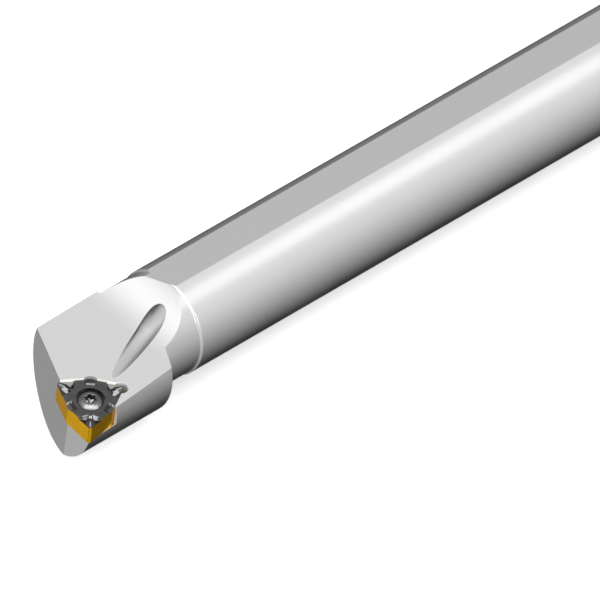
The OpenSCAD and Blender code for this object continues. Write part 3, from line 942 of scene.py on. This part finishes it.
# %% Sections of the screw
SCREW_COLUMNS, THREAD_ROWS, DOME_ROWS = 144, 84, 20
THREAD_RADIUS, PITCH, THREAD_DEPTH, BELOW_INSERT = 1.25, 0.45, 0.24, 3.5
HEAD_RADIUS, FLAT_RADIUS, CROWN, SOCKET_DEPTH = 1.83, 0.97, 0.44, 0.9
SOCKET_MEAN, SOCKET_SWING, LOBES = 0.735, 0.115, 6
FOOT_FADE, NECK, NECK_FADE = 0.4, 0.3, 0.3

screw_turn = np.linspace(0, 2 * math.pi, SCREW_COLUMNS, endpoint=False)
rim_level = PLATEAU - MOUTH_DEPTH
crown_level = rim_level + CROWN
seat_end = rim_level - (SEAT_RADIUS - THREAD_RADIUS) / math.tan(SEAT_HALF_ANGLE)
screw_foot = -THICK - BELOW_INSERT


def screw_rows(radius, height):
    """Rows of points round the screw's axis. Radius and height are one number, one per row, or one
    per row and column."""
    radius, height = np.atleast_2d(radius), np.atleast_2d(height)
    radius, height = np.broadcast_arrays(radius + 0 * screw_turn, height + 0 * screw_turn)
    return np.stack([radius * np.cos(screw_turn), radius * np.sin(screw_turn), height], axis=2)


def thread_radius(height):
    """Outer radius less the depth times a wave: how far the height is from a crest, in pitches, after
    the angle's share of a turn is taken off. The crests fade out at the foot and under the head."""
    phase = (height / PITCH - screw_turn / (2 * math.pi)) % 1.0
    groove = np.clip(np.abs(2 * phase - 1) * 1.5 - 0.2, 0, 1)
    at_foot = np.clip((height - screw_foot) / FOOT_FADE, 0, 1)
    at_neck = np.clip((seat_end - NECK - height) / NECK_FADE, 0, 1)
    return THREAD_RADIUS - THREAD_DEPTH * (1 - (1 - groove) * (at_foot * at_neck))


def socket_radius(scale):
    """The mean radius plus a cosine of six times the angle, times a scale."""
    return scale * (SOCKET_MEAN + SOCKET_SWING * np.cos(LOBES * screw_turn))[None, :]


print("thread from", round(screw_foot, 2), "to", round(seat_end, 2), "mm")

# %% [markdown]
# The rows follow the section from the point to the bottom of the socket: foot, thread, cone and rim,
# dome, and the socket with its small chamfer and its cone-shaped bottom. The dome rises quickly at
# the rim and flattens towards the socket.

# %% Rows of the screw
FOOT_RADII, FOOT_ABOVE, THREAD_BELOW = [[0.5], [0.92]], 0.1, 0.05
DOME_IN, DOME_UP = 0.02, 0.03
SOCKET_STEPS = (
    (1.10, 0.0),
    (1.04, 0.02),
    (1.0, 0.07),
    (1.0, SOCKET_DEPTH),
    (0.75, SOCKET_DEPTH + 0.05),
    (0.08, SOCKET_DEPTH + 0.30),
)

thread_height = np.linspace(screw_foot + FOOT_ABOVE, seat_end - THREAD_BELOW, THREAD_ROWS)[:, None]
dome = np.linspace(0, 1, DOME_ROWS)[:, None]
dome_radius = HEAD_RADIUS - DOME_IN - (HEAD_RADIUS - DOME_IN - FLAT_RADIUS) * dome
dome_height = rim_level + DOME_UP + (CROWN - DOME_UP) * (1 - (1 - dome) ** 1.5)
cone_radius = [[THREAD_RADIUS], [HEAD_RADIUS - 0.01], [HEAD_RADIUS]]
cone_height = [[seat_end], [rim_level - 0.03], [rim_level]]
screw_points = [
    screw_rows(FOOT_RADII, screw_foot),
    screw_rows(thread_radius(thread_height), thread_height),
    screw_rows(cone_radius, cone_height),
    screw_rows(dome_radius, dome_height),
    *(screw_rows(socket_radius(scale), crown_level - depth) for scale, depth in SOCKET_STEPS),
]
screw_grid = on_top_face(np.concatenate(screw_points) + insert_mid)
print("screw grid:", screw_grid.shape)

# %% [markdown]
# The screw is hardened and oiled, which leaves it dark grey and fairly glossy. Faint turned rings
# on its head come from the same group as on the bar, with positions measured in the screw's own
# frame: a Mapping node undoes the tilt of the top face.

# %% Steel of the screw
OILED, OILED_PALE = (0.100, 0.100, 0.102), (0.130, 0.130, 0.132)
OILED_ROUGHNESS, RING_ROUGHNESS = 0.24, 0.05

screw_steel, tree, shader, position = new_finish("dark_oiled_steel", 1.0)
screw_mid = Vector(on_top_face(insert_mid))
own_frame = add(tree, "Mapping", {"Vector": position, "Location": screw_mid}, vector_type="TEXTURE")
own_frame.inputs["Rotation"].default_value = (to_bar @ Matrix.Rotation(math.pi / 2, 3, "Y")).to_euler()
rings = place(tree, turned_group, {"From axis": own_frame.outputs[0], "Lines per metre": 9000.0})["Lines"]
grain = place(tree, grain_group, {"Position": position, "Grain": 12000.0, "Patches": 1500.0})
tree.links.new(blend_colours(tree, grain["Patches"], OILED, OILED_PALE), shader.inputs["Base Color"])
dull = sum_up(tree, "MULTIPLY_ADD", rings, RING_ROUGHNESS, OILED_ROUGHNESS)
tree.links.new(dull, shader.inputs["Roughness"])
bump = add(tree, "Bump", {"Strength": 0.15, "Distance": 0.005 * MM, "Height": rings})
tree.links.new(bump.outputs[0], shader.inputs["Normal"])
print("screw finish:", len(tree.nodes), "nodes")

# %% [markdown]
# The screw takes the place of the plain one, and the strip lamp lights it too.

# %% Put the screw in the insert
screw_piece = piece_from_grid("six_lobe_screw", screw_grid, screw_steel)
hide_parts("insert_screw")
strip_lights.objects.link(screw_piece)
